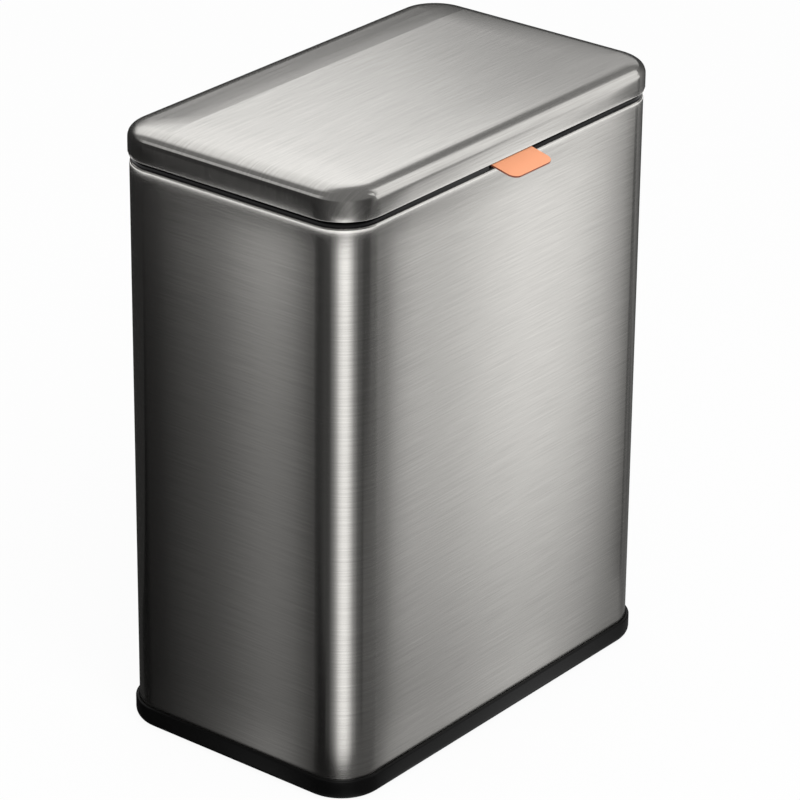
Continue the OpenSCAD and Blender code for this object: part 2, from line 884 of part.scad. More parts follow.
module release_lever() {
    hub = [pivot_v, pivot_z];
    seat_z = tab_flat_z - tab_t;
    arm = [
        [lever_front_v, seat_z - lever_plate_t],
        [lever_front_v, seat_z],
        [pivot_v + 0.9, seat_z],
        hub + [hub_r - 0.1, 0.3],
        hub + [0.1 - hub_r, -0.4],
        [lip_w + 0.3, seat_z - lever_plate_t - 0.2]
    ];
    nose_v = leaf_v - nose_gap;
    leg = [
        hub + [-1.4, -1.8],
        [nose_v - 2.9, nose_z - 0.9],
        [nose_v, nose_z - 0.9],
        [nose_v, nose_z + 0.7],
        hub + [2.2, -0.8]
    ];
    color("#2e2f31") centred()
        difference() {
            at_front() {
                along_x(lever_w)
                    polygon(arm);
                along_x(lever_w)
                    translate(hub)
                        circle(hub_r);
                along_x(leg_w)
                    polygon(leg);
            }
            at_front()
                bar_x(lever_pin_r + pin_gap, -lever_w, lever_w, pivot_v, pivot_z);
            rivets(screw_fit);
        }
}

module lever_pin() {
    color("#a6a8aa") centred()
        at_front()
            bar_x(
                lever_pin_r, -notch_w / 2 - box_wall_t, notch_w / 2 + box_wall_t,
                pivot_v, pivot_z
            );
}

module catch_leaf() {
    mid = leaf_v + leaf_t / 2;
    z_hold = z_strike + striker_t + hook_gap + leaf_t / 2;
    blade = [
        [mid, z_leaf],
        [mid, z_hold - 0.2],
        [mid - hook_reach, z_hold],
        [mid - 0.1, z_hold + hook_lead]
    ];
    color("#b9babb") centred()
        at_front()
            difference() {
                union() {
                    along_x(leaf_w)
                        polygon(strip(blade, leaf_t));
                    translate([-leaf_foot_w / 2, leaf_v, z_leaf])
                        cube([leaf_foot_w, leaf_t, leaf_foot_h]);
                }
                for (s = [-1, 1])
                    translate([s * leaf_w / 2, leaf_v - 1, z_leaf + leaf_foot_h / 2])
                        rotate([-90, 0, 0])
                            cylinder(r = small_screw_r + screw_fit, h = 3);
            }
}

module leaf_screws() {
    color("#8d8f92") centred()
        at_front()
            for (s = [-1, 1])
                translate([s * leaf_w / 2, leaf_v - small_head_h, z_leaf + leaf_foot_h / 2])
                    rotate([-90, 0, 0])
                        screw(small_head_r, small_head_h, small_screw_r, leaf_t + leaf_screw_grip);
}

module striker() {
    mid = striker_t / 2;
    bend = [
        [striker_v - striker_foot, z_plate - mid],
        [striker_v + mid, z_plate - mid],
        [striker_v + mid, z_strike + mid],
        [striker_lip_v, z_strike + mid]
    ];
    color("#b9babb") centred()
        at_front()
            difference() {
                along_x(striker_w)
                    polygon(strip(bend, striker_t));
                for (s = [-1, 1])
                    translate([s * striker_w / 3, striker_v - striker_screw_v, z_plate - striker_t - 1])
                        cylinder(r = small_screw_r + screw_fit, h = striker_t + 2);
            }
}

module striker_screws() {
    color("#8d8f92") centred()
        at_front()
            for (s = [-1, 1])
                translate([
                    s * striker_w / 3, striker_v - striker_screw_v, z_plate - striker_t - small_head_h
                ])
                    screw(small_head_r, small_head_h, small_screw_r, striker_t + plate_t);
}

base_tray();
rubber_feet();
base_screws();
body_shell();
top_collar();
inner_bucket();
lid_skin();
lid_liner();
lid_bumpers();
hinge_bracket_left();
hinge_bracket_right();
bracket_screws();
hinge_pin_left();
hinge_pin_right();
torsion_spring_left();
torsion_spring_right();
finger_tab();
tab_rivets();
release_lever();
lever_pin();
catch_leaf();
leaf_screws();
striker();
striker_screws();
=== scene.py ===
"""Looks of a countertop bin: brushed stainless body and lid, moulded base, collar and tab.

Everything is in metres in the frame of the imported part. Real sizes are written in millimetres and turned to
metres by mm(). The long front face, with the tab, looks towards -Y.
"""

import math

import bmesh
import bpy
from mathutils import Matrix, Vector


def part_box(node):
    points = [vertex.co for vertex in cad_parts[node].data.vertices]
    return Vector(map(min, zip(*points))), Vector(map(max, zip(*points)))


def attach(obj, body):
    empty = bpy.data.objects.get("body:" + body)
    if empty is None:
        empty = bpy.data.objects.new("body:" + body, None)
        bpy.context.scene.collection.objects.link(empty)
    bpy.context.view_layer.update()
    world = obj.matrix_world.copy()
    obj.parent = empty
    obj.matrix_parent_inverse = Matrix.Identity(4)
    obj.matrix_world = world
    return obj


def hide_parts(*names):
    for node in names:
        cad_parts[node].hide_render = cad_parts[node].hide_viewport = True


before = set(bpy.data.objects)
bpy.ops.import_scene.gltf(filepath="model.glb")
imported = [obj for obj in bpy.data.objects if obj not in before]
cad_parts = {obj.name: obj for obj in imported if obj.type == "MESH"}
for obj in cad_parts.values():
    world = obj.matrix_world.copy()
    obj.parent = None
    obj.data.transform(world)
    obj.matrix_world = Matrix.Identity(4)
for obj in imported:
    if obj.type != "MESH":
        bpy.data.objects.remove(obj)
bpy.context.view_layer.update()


def mm(size):
    """Millimetres to metres."""
    return size / 1000


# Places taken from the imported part
BODY_LO, BODY_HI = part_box("body_shell")
LID_LO, LID_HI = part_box("lid_skin")
TAB_LO, TAB_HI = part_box("finger_tab")
MIDDLE = (BODY_LO + BODY_HI) / 2

# Sheet metal
SHEET = mm(0.5)
BODY_CORNER = mm(22)
SEAM_ROLL = mm(1.2)
LIP = mm(6)
FLANGE = mm(14)

# Lid: its crowned edge, the gentle border inside it, the crease along the back, and the turned-in lower edge
LID_CORNER = BODY_CORNER + (BODY_LO.x - LID_LO.x)
LID_LEAST_CORNER = mm(8)
CROWN_WIDTH = mm(22)
CROWN_RISE = mm(9.2)
CROWN_FULLNESS = 2.85
SHOULDER_WIDTH = mm(4.4)
BLEND_STEPS = 12
BORDER_START = mm(11)
BORDER_SLOPE = math.radians(3)
BORDER_STEPS = 5
CREASE_INSET = mm(31.6)
CREASE_SLOPE = math.radians(2)
CREASE_STRIP = mm(0.02)
CREASE_REACH = mm(0.01)
CUT_REACH = mm(0.001)
EDGE_ROLL = mm(0.35)
UNDER_DROP = 4 * SHEET
UNDER_STEPS = 8

# Finger tab
TAB_THICK = mm(1.1)
TAB_BEND = mm(0.9)
TAB_SLOPE = math.radians(13)
TAB_CORNER = mm(5)
TAB_CORNER_STEPS = 14
TAB_EDGE = mm(0.18)
TAB_EDGE_STEPS = 5
# Tab faces that face up less than this take the darker orange, which is painted shade on the sides and
# underside
TAB_SHADE_PAINTED_UNDER = 0.3
TAB_SMOOTH_UNDER = 10

# Softened copies of CAD nodes
WELD = mm(0.005)
FLAT_UNDER = math.radians(0.5)
SHARP_OVER = math.radians(40)
SOFT_SEGMENTS = 3

# Materials: the span of noise that is spread out, the brushed grain, and the moulded and drawn surfaces
NOISE_LOW = 0.3
NOISE_HIGH = 0.7
GRAIN_ACROSS_MM = 0.8
GRAIN_ALONG_MM = 36
GRAIN_ROUGHNESS = 0.6
BROAD_ACROSS = 6
BROAD_ALONG = 3
STREAK_LIGHT = 1.22
STREAK_DARK = 0.78
STREAK_GLOSS = 0.01
STREAK_BUMP = 0.1
STREAK_DEPTH = mm(0.02)
ANISOTROPY = 0.9
QUARTER_TURN = 0.25
MOULD_ROUGHNESS = 0.55
MOULD_CLOUD_MM = 45
MOULD_LIGHT = 1.12
MOULD_DARK = 0.9
MOULD_GLOSS = 0.04
MOULD_BUMP = 0.35
MARK_SMOOTHER = 0.05
MARK_ROUGHER = 0.08
MARK_BUMP = 0.2
MARK_DEPTH = mm(0.02)

# Camera, as the photograph was taken
PHOTO_AZIMUTH = math.radians(51.49)
PHOTO_ELEVATION = math.radians(24.983)
PHOTO_ROLL = math.radians(0.5545)
PHOTO_DISTANCE = mm(2144)
PHOTO_AIM_SIDE = mm(5.525)
PHOTO_AIM_HEIGHT = mm(158.8)
PHOTO_FOCAL_PIXELS = 4167.6
PHOTO_PIXELS = 800
SENSOR_MM = 36
CLIP_END = 100
CAMERA_BACK = Vector((
    -math.sin(PHOTO_AZIMUTH) * math.cos(PHOTO_ELEVATION),
    -math.cos(PHOTO_AZIMUTH) * math.cos(PHOTO_ELEVATION),
    math.sin(PHOTO_ELEVATION),
))
CAMERA_AIM = Vector((
    PHOTO_AIM_SIDE * math.cos(PHOTO_AZIMUTH),
    MIDDLE.y - PHOTO_AIM_SIDE * math.sin(PHOTO_AZIMUTH),
    PHOTO_AIM_HEIGHT,
))
CAMERA_PLACE = CAMERA_AIM + CAMERA_BACK * PHOTO_DISTANCE

# Floor and surround: the soft light's level, how far the floor shows its own white, and the studio's tones
# in reflections, as stops of (azimuth in degrees from +X, share of full brightness)
FLOOR_HALF = 8
FLOOR_GREY = 0.9
SOFT_LIGHT = 0.7
FLOOR_GLOW = 0.94
STUDIO_GLOW = 1.3
STUDIO = (
    (-180, 0.06), (-165, 0.08), (-150, 0.12), (-141, 0.17), (-125, 0.25), (-110, 0.12), (-90, 0.06),
    (-73, 0.05), (-58, 0.2), (-39, 0.26), (-28, 0.25), (-12, 0.16), (10, 0.06), (38, 0.03), (60, 0.02),
    (90, 0.02), (120, 0.02), (132, 0.03), (145, 0.03), (160, 0.03), (170, 0.04), (180, 0.06),
)
CEILING = 0.17
CEILING_STOPS = ((0.33, 0), (0.46, 1))

# Key light: place, aim, side length and power
KEY_PLACE = (-0.6, -0.9, 1.5)
KEY_AIM = (0, 0, 0.15)
KEY_SIDE = 0.9
KEY_WATTS = 14

# Boards that only reflections show. Their tones are stops of (place, share of full brightness)
BOARD_GLOW = 1.8

# Long boards on the floor, which the lid's skirt and the body's lower end mirror. They start SWEEP_START
# from the side that they face, lie flat to SWEEP_FLAT, bend up with radius SWEEP_BEND and end SWEEP_TOP up.
# AZIMUTHS are those of their edges; ACROSS goes over the width, ALONG outwards in metres, and UPRIGHT is the
# tone past the bend
SWEEP_START = 0.004
SWEEP_FLAT = 1.7
SWEEP_BEND = 0.3
SWEEP_TOP = 2.4
SWEEP_LIFT = mm(1)
SWEEP_STEPS = 16
SWEEP_BEND_STEPS = 8
PAST_BEND = ((0.44, 0), (0.48, 1))
FRONT_GLOW = 2.3
FRONT_AZIMUTHS = (-47, -31)
FRONT_ACROSS = (
    (0, 0.1), (0.3, 0.1), (0.49, 0.12), (0.505, 0.18), (0.52, 0.44), (0.54, 0.51), (0.572, 0.53),
    (0.606, 0.64), (0.64, 0.77), (0.672, 0.74), (0.708, 0.5), (0.725, 0.36), (0.737, 0.31), (0.745, 0.28),
    (0.77, 0.18), (1, 0.08),
)
FRONT_ALONG = ((0, 0.345), (0.05, 0.38), (0.3, 0.6), (SWEEP_FLAT, 0.6))
FRONT_UPRIGHT = 0.42
LEFT_GLOW = 2.8
LEFT_AZIMUTHS = (135, 143)
LEFT_ACROSS = (
    (0, 0.01), (0.3, 0.02), (0.366, 0.1), (0.394, 0.17), (0.432, 0.27), (0.47, 0.42), (0.508, 0.66),
    (0.542, 0.86), (0.569, 0.92), (0.595, 0.78), (0.621, 0.5), (0.645, 0.29), (0.66, 0.1), (0.7, 0.03),
    (0.75, 0.03), (1, 0.05),
)
LEFT_ALONG = ((0, 0.09), (SWEEP_FLAT, 0.09))
LEFT_UPRIGHT = 0.013

# Upright cards CARD_GAP from the body, which the body mirrors. ENDS are how far they reach to both sides of
# the near corner, or past the centre of its rounding and past the face's far end. TOP is the upper edge;
# ACROSS and UP go over the width and the height
CARD_GAP = mm(40)
CARD_LIFT = mm(1)
CORNER_CARD_GLOW = 2.1
CORNER_CARD_ENDS = (mm(-45), mm(75))
CORNER_CARD_TOP = mm(292.5)
CORNER_CARD_ACROSS = (
    (0, 0.03), (0.11, 0.04), (0.208, 0.15), (0.271, 0.3), (0.323, 0.55), (0.391, 0.72), (0.46, 0.72),
    (0.53, 0.5), (0.61, 0.22), (0.73, 0.08), (1, 0.03),
)
CORNER_CARD_UP = ((0, 0.86), (0.88, 0.86), (0.95, 1), (1, 1))
LEFT_CARD_GLOW = 1.0
LEFT_CARD_ENDS = (mm(15), mm(31.9))
LEFT_CARD_TOP = mm(287.5)
LEFT_CARD_ACROSS = (
    (0, 0.05), (0.05, 0.07), (0.115, 0.17), (0.168, 0.26), (0.23, 0.37), (0.29, 0.43), (0.354, 0.42),
    (0.432, 0.35), (0.521, 0.24), (0.608, 0.17), (0.696, 0.125), (0.762, 0.08), (0.829, 0.045), (0.9, 0.03),
    (1, 0.02),
)
LEFT_CARD_UP = (
    (0, 0.39), (0.066, 0.415), (0.255, 0.475), (0.44, 0.53), (0.625, 0.62), (0.81, 0.8), (0.92, 1), (1, 1),
)
FRONT_CARD_GLOW = 1.2
FRONT_CARD_ENDS = (mm(34.4), mm(64))
FRONT_CARD_TOP = mm(281.5)
FRONT_CARD_ACROSS = (
    (0, 0.15), (0.05, 0.2), (0.067, 0.27), (0.1, 0.45), (0.165, 0.59), (0.276, 0.675), (0.334, 0.745),
    (0.393, 0.83), (0.451, 0.89), (0.51, 0.95), (0.569, 0.95), (0.628, 0.93), (0.686, 0.88), (0.745, 0.75),
    (0.804, 0.59), (0.843, 0.49), (0.869, 0.43), (0.888, 0.25), (0.93, 0.1), (1, 0.05),
)
FRONT_CARD_UP = ((0, 0.52), (0.118, 0.6), (0.317, 0.76), (0.517, 0.89), (0.832, 1), (1, 1))

# Narrow strip round the body, SEAM_GAP off it and SEAM_DROP below its upper edge
SEAM_GAP = mm(6)
SEAM_DROP = mm(1)
SEAM_STRIP = mm(3)
SEAM_TONE = "#ffffff"

# Softboxes above the lid: the place of each long edge (sideways, up) from the middle of the lid's top, and
# stops along the box in metres from there
BACK_BOX_EDGES = ((0.945, 0.447), (0.368, 0.899))
BACK_BOX = (
    (-0.25, 0.1), (-0.15, 0.2), (0, 0.56), (0.3, 0.62), (0.6, 0.68), (0.89, 0.74), (0.947, 0.68),
    (1.02, 0.61), (1.1, 0.52), (1.155, 0.4), (1.223, 0.32), (1.27, 0.29), (1.7, 0.29), (2.6, 0.3),
)
FRONT_BOX_EDGES = ((-0.226, 0.985), (-0.961, 0.451))
FRONT_BOX = ((0.5, 0.08), (0.65, 0.45), (0.85, 0.62), (1.1, 0.55), (1.5, 0.55), (1.7, 0.3))
LEFT_BOX_EDGES = ((-0.727, 0.799), (-1.016, 0.454))
LEFT_BOX = ((0.2, 0.1), (0.35, 0.33), (0.9, 0.33), (1.1, 0.1))


def linear(code):
    """Linear RGBA of an sRGB colour written as hex."""
    parts = [int(code[i:i + 2], 16) / 255 for i in (1, 3, 5)]
    return [c / 12.92 if c <= 0.04045 else ((c + 0.055) / 1.055) ** 2.4 for c in parts] + [1]


def add(tree, kind, inputs=None, **settings):
    """Adds a node. Settings are its properties; inputs are values, or sockets that it is linked from."""
    node = tree.nodes.new(kind)
    for name, value in settings.items():
        setattr(node, name, value)
    for key, value in (inputs or {}).items():
        if isinstance(value, bpy.types.NodeSocket):
            tree.links.new(value, node.inputs[key])
        else:
            node.inputs[key].default_value = value
    return node


def ramp(tree, factor, stops):
    """Grey that follows stops of (place, value) along factor."""
    node = add(tree, "ShaderNodeValToRGB", {"Fac": factor})
    elements = node.color_ramp.elements
    while len(elements) < len(stops):
        elements.new(0.5)
    for element, (place, value) in zip(elements, stops):
        element.position = place
        element.color = (value, value, value, 1)
    return node.outputs["Color"]


def ramp_round(tree, place, stops):
    """Grey that follows stops of (angle in degrees, value) round the Z axis of place."""
    turn = add(tree, "ShaderNodeTexGradient", {"Vector": place}, gradient_type="RADIAL").outputs["Fac"]
    return ramp(tree, turn, [(angle / 360 + 0.5, value) for angle, value in stops])


def new_material(name):
    """Empty node material with its tree, its Principled shader and that shader linked to the output."""
    material = bpy.data.materials.new(name)
    material.use_nodes = True
    tree = material.node_tree
    tree.nodes.clear()
    shader = add(tree, "ShaderNodeBsdfPrincipled")
    add(tree, "ShaderNodeOutputMaterial", {"Surface": shader.outputs["BSDF"]})
    return material, tree, shader


def set_inputs(tree, shader, **inputs):
    """Sets or links a shader's sockets, written with _ for a space."""
    for key, value in inputs.items():
        socket = shader.inputs[key.replace("_", " ")]
        if isinstance(value, bpy.types.NodeSocket):
            tree.links.new(value, socket)
        else:
            socket.default_value = value


def per_metre(size_mm):
    """Noise scale whose features are about size_mm across, for coordinates in metres."""
    return 1 / mm(size_mm)


def scaled(tone, share):
    """Colour of a hex tone at a share of its brightness."""
    return [c * share for c in linear(tone)[:3]] + [1]


def spread_out(tree, noise, low, high):
    """Noise spread out to values between low and high."""
    return add(tree, "ShaderNodeMapRange", {
        "Value": noise, "From Min": NOISE_LOW, "From Max": NOISE_HIGH, "To Min": low, "To Max": high,
    }).outputs["Result"]


def brushed_stainless(name, tone, rough):
    """304 stainless sheet, belt-brushed one way: the grain shows as fine streaks and draws highlights out
    square to itself. Real grain is about 0.05 mm wide; it is drawn coarser so that it shows."""
    material, tree, shader = new_material(name)
    sheet = add(tree, "ShaderNodeUVMap", uv_map="sheet").outputs["UV"]

    def streaks(across, along, detail):
        stretched = add(tree, "ShaderNodeMapping", {
            "Vector": sheet, "Scale": (per_metre(along), per_metre(across), 1),
        }).outputs["Vector"]
        return add(tree, "ShaderNodeTexNoise", {
            "Vector": stretched, "Scale": 1.0, "Detail": detail, "Roughness": GRAIN_ROUGHNESS,
        }).outputs["Fac"]

    fine = streaks(GRAIN_ACROSS_MM, GRAIN_ALONG_MM, 3)
    broad = streaks(GRAIN_ACROSS_MM * BROAD_ACROSS, GRAIN_ALONG_MM * BROAD_ALONG, 2)
    light = scaled(tone, STREAK_LIGHT)
    dark = scaled(tone, STREAK_DARK)
    colour = add(tree, "ShaderNodeMix", {0: fine, 6: dark, 7: light}, data_type="RGBA").outputs[2]
    spread = spread_out(tree, broad, rough - STREAK_GLOSS, rough + STREAK_GLOSS)
    bump = add(tree, "ShaderNodeBump", {"Height": fine, "Strength": STREAK_BUMP, "Distance": STREAK_DEPTH})
    along = add(tree, "ShaderNodeTangent", direction_type="UV_MAP", uv_map="sheet").outputs["Tangent"]
    set_inputs(
        tree, shader, Base_Color=colour, Metallic=1.0, Roughness=spread, Anisotropic=ANISOTROPY,
        Anisotropic_Rotation=QUARTER_TURN, Tangent=along, Normal=bump.outputs["Normal"],
    )
    return material


def moulded_plastic(name, tone, rough, grain_mm, grain_depth_mm, gloss=0.5):
    """Injection-moulded polymer: even colour, a fine spark-eroded grain that softens highlights."""
    material, tree, shader = new_material(name)
    place = add(tree, "ShaderNodeTexCoord").outputs["Object"]
    grain = add(tree, "ShaderNodeTexNoise", {
        "Vector": place, "Scale": per_metre(grain_mm), "Detail": 2.0, "Roughness": MOULD_ROUGHNESS,
    }).outputs["Fac"]
    cloud = add(tree, "ShaderNodeTexNoise", {
        "Vector": place, "Scale": per_metre(MOULD_CLOUD_MM), "Detail": 2.0,
    }).outputs["Fac"]
    lighter = scaled(tone, MOULD_LIGHT)
    darker = scaled(tone, MOULD_DARK)
    colour = add(tree, "ShaderNodeMix", {0: cloud, 6: darker, 7: lighter}, data_type="RGBA").outputs[2]
    spread = spread_out(tree, grain, rough - MOULD_GLOSS, rough + MOULD_GLOSS)
    bump = add(tree, "ShaderNodeBump", {
        "Height": grain, "Strength": MOULD_BUMP, "Distance": mm(grain_depth_mm),
    })
    set_inputs(
        tree, shader, Base_Color=colour, Roughness=spread, Normal=bump.outputs["Normal"],
        Specular_IOR_Level=gloss,
    )
    return material


def plain_metal(name, tone, rough, mark_mm):
    """Turned or drawn steel wire, pins and screws: bright, with fine draw marks that vary the gloss."""
    material, tree, shader = new_material(name)
    place = add(tree, "ShaderNodeTexCoord").outputs["Object"]
    marks = add(tree, "ShaderNodeTexNoise", {
        "Vector": place, "Scale": per_metre(mark_mm), "Detail": 3.0,
    }).outputs["Fac"]
    spread = spread_out(tree, marks, rough - MARK_SMOOTHER, rough + MARK_ROUGHER)
    bump = add(tree, "ShaderNodeBump", {"Height": marks, "Strength": MARK_BUMP, "Distance": MARK_DEPTH})
    set_inputs(
        tree, shader, Base_Color=linear(tone), Metallic=1.0, Roughness=spread,
        Normal=bump.outputs["Normal"],
    )
    return material


def outline(size, radius, inset, straight_steps=8, corner_steps=14, least=0.0):
    """Points round a rounded rectangle drawn in by inset, its corners no tighter than least: (place, outward
    direction, distance along the outer line), anticlockwise from the middle of the back."""
    if radius - inset < least:
        size = (size[0] - 2 * (inset - radius + least), size[1] - 2 * (inset - radius + least))
        inset = radius - least
    half = [size[0] / 2 - radius, size[1] / 2 - radius]
    corners = [(-1, 1), (-1, -1), (1, -1), (1, 1)]
    walk = []
    start = Vector((0, half[1]))
    travelled = 0.0
    for i, (sx, sy) in enumerate(corners):
        centre = Vector((sx * half[0], sy * half[1]))
        first = math.radians(90 * (i + 1))
        facing = Vector((math.cos(first), math.sin(first)))
        run = (centre - start).length
        for k in range(straight_steps):
            share = k / straight_steps
            place = start.lerp(centre, share) + facing * (radius - inset)
            walk.append((place, facing, travelled + run * share))
        travelled += run
        for k in range(corner_steps):
            turn = first + math.radians(90) * k / corner_steps
            facing = Vector((math.cos(turn), math.sin(turn)))
            walk.append((centre + facing * (radius - inset), facing, travelled + radius * (turn - first)))
        travelled += radius * math.radians(90)
        start = centre
    last = Vector((0, half[1]))
    run = (last - start).length
    facing = Vector((0, 1))
    for k in range(straight_steps):
        share = k / straight_steps
        place = start.lerp(last, share) + facing * (radius - inset)
        walk.append((place, facing, travelled + run * share))
    return walk, travelled + run


def sweep(name, size, radius, profile, closed=True, cap_end=False, flat_from=None, least=0.0):
    """Mesh of a profile of (inset, height) points carried round a rounded rectangle.

    Its "sheet" map lies as the metal did before it was bent, in metres: along the outline and up the
    profile, or for a pressed lid the plan of its flat top unrolled outwards from profile point flat_from.
    """
    mesh = bmesh.new()
    layer = mesh.loops.layers.uv.new("sheet")
    rings = [outline(size, radius, inset, least=least) for inset, height in profile]
    around = len(rings[0][0])
    verts = [
        [mesh.verts.new((p.x, p.y + MIDDLE.y, height)) for p, facing, along in ring[0]]
        for ring, (inset, height) in zip(rings, profile)
    ]
    length = [0.0]
    for a, b in zip(profile, profile[1:] + profile[:1]):
        length.append(length[-1] + math.dist(a, b))

    def on_sheet(j, i):
        place, facing, along = rings[j % len(profile)][0][i % around]
        if flat_from is None:
            return (rings[0][1] if i == around else along), length[j]
        if j >= flat_from:
            return tuple(place)
        return tuple(rings[flat_from][0][i % around][0] + facing * (length[flat_from] - length[j]))

    for j in range(len(profile) if closed else len(profile) - 1):
        for i in range(around):
            here = [(j, i), (j, i + 1), (j + 1, i + 1), (j + 1, i)]
            face = mesh.faces.new([verts[b % len(profile)][a % around] for b, a in here])
            for loop, (b, a) in zip(face.loops, here):
                loop[layer].uv = on_sheet(b, a)
    if cap_end:
        face = mesh.faces.new(verts[-1])
        for loop, i in zip(face.loops, range(around)):
            loop[layer].uv = on_sheet(len(profile) - 1, i)
    bmesh.ops.recalc_face_normals(mesh, faces=mesh.faces)
    return finish_mesh(mesh, name)


def finish_mesh(mesh, name, smooth_under=35):
    """Object of a bmesh, smooth but for edges sharper than smooth_under degrees."""
    for face in mesh.faces:
        face.smooth = True
    for edge in mesh.edges:
        if len(edge.link_faces) == 2 and edge.calc_face_angle(0) > math.radians(smooth_under):
            edge.smooth = False
    data = bpy.data.meshes.new(name)
    mesh.to_mesh(data)
    mesh.free()
    piece = bpy.data.objects.new(name, data)
    bpy.context.scene.collection.objects.link(piece)
    return piece


def arc(centre, radius, start, end, steps=6):
    """Points on an arc, angles in degrees."""
    turns = [math.radians(start + (end - start) * i / steps) for i in range(steps + 1)]
    return [(centre[0] + radius * math.cos(t), centre[1] + radius * math.sin(t)) for t in turns]


def crown(width, rise, steps=26):
    """Points of the lid's crowned edge, from the skirt to the flat top, closer together at both ends."""
    angles = [math.pi / 2 * i / steps for i in range(steps + 1)]
    return [
        (
            width - width * max(0.0, math.cos(a)) ** (2 / CROWN_FULLNESS),
            rise * math.sin(a) ** (2 / CROWN_FULLNESS),
        )
        for a in angles
    ]


def lid_cap():
    """Pressed lid: straight skirt with a turned-in lower edge, rounded shoulder, gently rising border and
    flat top, which falls a little along the back from a faint crease on."""
    size = (LID_HI.x - LID_LO.x, LID_HI.y - LID_LO.y)
    skirt_top = LID_HI.z - CROWN_RISE
    edge = arc((EDGE_ROLL, LID_LO.z + EDGE_ROLL), EDGE_ROLL, 270, 180, 5)
    shoulder = [point for point in crown(CROWN_WIDTH, CROWN_RISE) if point[0] < SHOULDER_WIDTH]
    near, far = (Vector(point) for point in shoulder[-2:])
    gentle = math.tan(BORDER_SLOPE)
    width = CREASE_INSET - BORDER_START
    border = []
    for i in range(BORDER_STEPS + 1):
        t = i / BORDER_STEPS
        border.append(Vector((BORDER_START + t * width, CROWN_RISE - (1 - t) ** 2 * width * gentle / 2)))
    steep = (far - near).y / (far - near).x
    across = (border[0].y - far.y - gentle * border[0].x + steep * far.x) / (steep - gentle)
    knee = Vector((across, far.y + steep * (across - far.x)))
    blend = []
    for i in range(1, BLEND_STEPS):
        t = i / BLEND_STEPS
        blend.append(far.lerp(knee, t).lerp(knee.lerp(border[0], t), t))
    outer = [(inset, skirt_top + rise) for inset, rise in shoulder + blend + border]
    under = crown(CROWN_WIDTH, CROWN_RISE - UNDER_DROP, UNDER_STEPS)
    inner = [(SHEET + inset, skirt_top + rise) for inset, rise in under]
    hidden = [(SHEET + EDGE_ROLL, LID_LO.z)] + inner
    profile = list(reversed(hidden)) + edge + outer
    flat_from = len(profile) - len(border)
    piece = sweep("lid_cap", size, LID_CORNER, profile, False, True, flat_from, LID_LEAST_CORNER)
    mesh = bmesh.new()
    mesh.from_mesh(piece.data)
    rim = [e for e in mesh.edges if e.is_boundary]
    bmesh.ops.contextual_create(mesh, geom=rim)
    bmesh.ops.recalc_face_normals(mesh, faces=mesh.faces)
    back = LID_HI.y - CREASE_INSET
    fall = Vector((0, LID_HI.y - BORDER_START, 0))
    for place in (Vector((0, back - CREASE_STRIP, 0)), Vector((0, back, 0)), fall):
        geometry = mesh.verts[:] + mesh.edges[:] + mesh.faces[:]
        bmesh.ops.bisect_plane(mesh, geom=geometry, plane_co=place, plane_no=(0, 1, 0), dist=CUT_REACH)
    shoulder_top = skirt_top + far.y
    for vert in mesh.verts:
        if vert.co.y > back and vert.co.z > shoulder_top:
            share = (vert.co.z - shoulder_top) / (LID_HI.z - shoulder_top)
            vert.co.z -= (min(vert.co.y, fall.y) - back) * math.tan(CREASE_SLOPE) * share
    for edge in mesh.edges:
        if all(abs(vert.co.y - back) < CREASE_REACH and vert.co.z > shoulder_top for vert in edge.verts):
            edge.smooth = False
    mesh.to_mesh(piece.data)
    mesh.free()
    return piece


def body_wrap():
    """Body sheet: wall with a rolled upper edge turned in to a lip, and a flange turned in below."""
    size = (BODY_HI.x - BODY_LO.x, BODY_HI.y - BODY_LO.y)
    top, bottom = BODY_HI.z, BODY_LO.z
    roll = (SEAM_ROLL, top - SEAM_ROLL)
    profile = (
        [(0, bottom + SHEET)] + arc(roll, SEAM_ROLL, 180, 90, 8)
        + [(LIP, top), (LIP, top - SHEET)] + arc(roll, SEAM_ROLL - SHEET, 90, 180, 4)
        + [(SHEET, bottom + SHEET), (FLANGE, bottom + SHEET), (FLANGE, bottom), (SHEET, bottom)]
    )
    return sweep("body_wrap", size, BODY_CORNER, profile)


